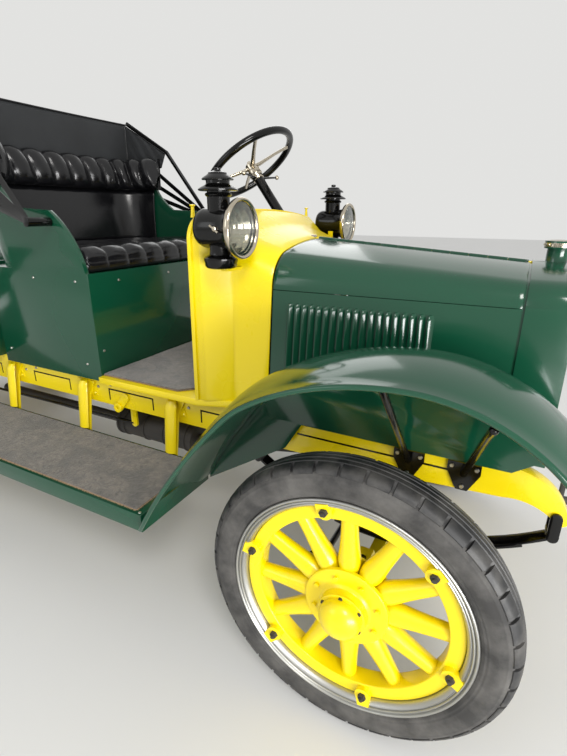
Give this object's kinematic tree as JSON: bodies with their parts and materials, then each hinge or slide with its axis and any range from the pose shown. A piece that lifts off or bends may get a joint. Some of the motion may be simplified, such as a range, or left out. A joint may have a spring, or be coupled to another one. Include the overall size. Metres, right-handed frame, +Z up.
{
  "type": "vintage light truck",
  "caption": "Light truck of about 1915 with wooden spoke wheels, louvred hood, open cab, folded top, cowl lamps and a flareboard load bed.",
  "frame": {"origin": "centre of the truck's outer box on the floor", "axes": "+X forward, +Y to the truck's left, +Z up"},
  "size_m": [4.71, 1.642, 1.9159],
  "materials": {
    "yellow": "gloss",
    "green": "gloss",
    "black": "gloss",
    "nickel": "polished",
    "steel": "satin",
    "iron": "rough",
    "tyre": "matte",
    "leather": "satin",
    "cloth": "matte",
    "mat": "matte",
    "wood": "satin",
    "glass": "clear"
  },
  "bodies": {
    "chassis": {"frame_rails": "yellow", "frame_crossmembers": "yellow", "front_axle": "yellow", "rear_axle": "yellow", "leaf_springs": "black", "engine": "iron", "radiator_shell": "green", "radiator_core": "black", "cowl": "yellow", "dash": "black", "floor": "yellow", "floor_mat": "mat", "seat_body": "green", "seat_cushion": "leather", "seat_back_cushion": "leather", "folded_top": "cloth", "top_irons": "black", "bed_floor": "wood", "bed_sides": "green", "bed_front": "green", "front_fenders": "green", "rear_fenders": "green", "fender_irons": "black", "running_boards": "green", "step_mats": "mat", "board_irons": "yellow", "lamp_bodies": "black", "lamp_lenses": "glass", "steering_column": "black", "pedals_levers": "black", "exhaust": "iron", "brake_rods": "yellow"},
    "hood_top_left": {"hood_top_left": "green"},
    "hood_side_left": {"hood_side_left": "green"},
    "hood_top_right": {"hood_top_right": "green"},
    "hood_side_right": {"hood_side_right": "green"},
    "tailgate": {"tailgate": "green"},
    "steering_wheel": {"steering_wheel": "black"},
    "knuckle_left": {"knuckle_left": "black"},
    "knuckle_right": {"knuckle_right": "black"},
    "tie_rod": {"tie_rod": "black"},
    "pitman_arm": {"pitman_arm": "black"},
    "drag_link": {"drag_link": "black"},
    "wheel_front_left": {"wheel_front_left": "yellow", "tyre_front_left": "tyre"},
    "wheel_front_right": {"wheel_front_right": "yellow", "tyre_front_right": "tyre"},
    "wheel_rear_left": {"wheel_rear_left": "yellow", "tyre_rear_left": "tyre"},
    "wheel_rear_right": {"wheel_rear_right": "yellow", "tyre_rear_right": "tyre"}
  },
  "joints": [
    {"name": "steer_left", "type": "hinge", "parent": "chassis", "child": "knuckle_left", "pos_m": [1.755, 0.61, 0.432], "axis": [0, 0, 1], "range_deg": [-26, 26]},
    {"name": "steer_right", "type": "hinge", "parent": "chassis", "child": "knuckle_right", "pos_m": [1.755, -0.61, 0.432], "axis": [0, 0, 1], "range_deg": [-26, 26]},
    {"name": "tie_rod_pivot", "type": "hinge", "parent": "knuckle_right", "child": "tie_rod", "pos_m": [1.605, -0.61, 0.372], "axis": [0, 0, 1], "range_deg": [-26, 26]},
    {"name": "pitman", "type": "hinge", "parent": "chassis", "child": "pitman_arm", "pos_m": [1.51535, 0.3, 0.738], "axis": [0, 1, 0], "range_deg": [-24, 24]},
    {"name": "drag_link_pivot", "type": "hinge", "parent": "pitman_arm", "child": "drag_link", "pos_m": [1.51535, 0.43, 0.538], "axis": [0, 1, 0], "range_deg": [-24, 24]},
    {"name": "steering_wheel_turn", "type": "hinge", "parent": "chassis", "child": "steering_wheel", "pos_m": [0.846, 0.3, 1.636], "axis": [-0.5976, 0, 0.8018], "range_deg": [-340, 340]},
    {"name": "wheel_front_left_spin", "type": "hinge", "parent": "knuckle_left", "child": "wheel_front_left", "pos_m": [1.755, 0.711, 0.432], "axis": [0, 1, 0], "continuous": true},
    {"name": "wheel_front_right_spin", "type": "hinge", "parent": "knuckle_right", "child": "wheel_front_right", "pos_m": [1.755, -0.711, 0.432], "axis": [0, 1, 0], "continuous": true},
    {"name": "wheel_rear_left_spin", "type": "hinge", "parent": "chassis", "child": "wheel_rear_left", "pos_m": [-1.495, 0.711, 0.432], "axis": [0, 1, 0], "continuous": true},
    {"name": "wheel_rear_right_spin", "type": "hinge", "parent": "chassis", "child": "wheel_rear_right", "pos_m": [-1.495, -0.711, 0.432], "axis": [0, 1, 0], "continuous": true},
    {"name": "hood_left_lift", "type": "hinge", "parent": "chassis", "child": "hood_top_left", "pos_m": [1.325, 0, 1.3405], "axis": [0.9974, 0, -0.0715], "range_deg": [0, 60]},
    {"name": "hood_right_lift", "type": "hinge", "parent": "chassis", "child": "hood_top_right", "pos_m": [1.325, 0, 1.3405], "axis": [-0.9974, 0, 0.0715], "range_deg": [0, 60]},
    {"name": "hood_left_fold", "type": "hinge", "parent": "hood_top_left", "child": "hood_side_left", "pos_m": [1.325, 0.3575, 1.196], "axis": [0.9989, -0.0468, 0], "range_deg": [-48, 0]},
    {"name": "hood_right_fold", "type": "hinge", "parent": "hood_top_right", "child": "hood_side_right", "pos_m": [1.325, -0.3575, 1.196], "axis": [-0.9989, -0.0468, 0], "range_deg": [-48, 0]},
    {"name": "tailgate_drop", "type": "hinge", "parent": "chassis", "child": "tailgate", "pos_m": [-2.343, 0, 0.826], "axis": [0, -1, 0], "range_deg": [0, 170]}
  ],
  "couplings": [
    {"joint": "steer_right", "follows": "steer_left", "ratio": 1},
    {"joint": "tie_rod_pivot", "follows": "steer_left", "ratio": -1},
    {"joint": "pitman", "follows": "steer_left", "ratio": -0.9},
    {"joint": "drag_link_pivot", "follows": "steer_left", "ratio": 0.9},
    {"joint": "steering_wheel_turn", "follows": "steer_left", "ratio": 13},
    {"joint": "hood_left_fold", "follows": "hood_left_lift", "ratio": -0.8},
    {"joint": "hood_right_fold", "follows": "hood_right_lift", "ratio": -0.8}
  ]
}
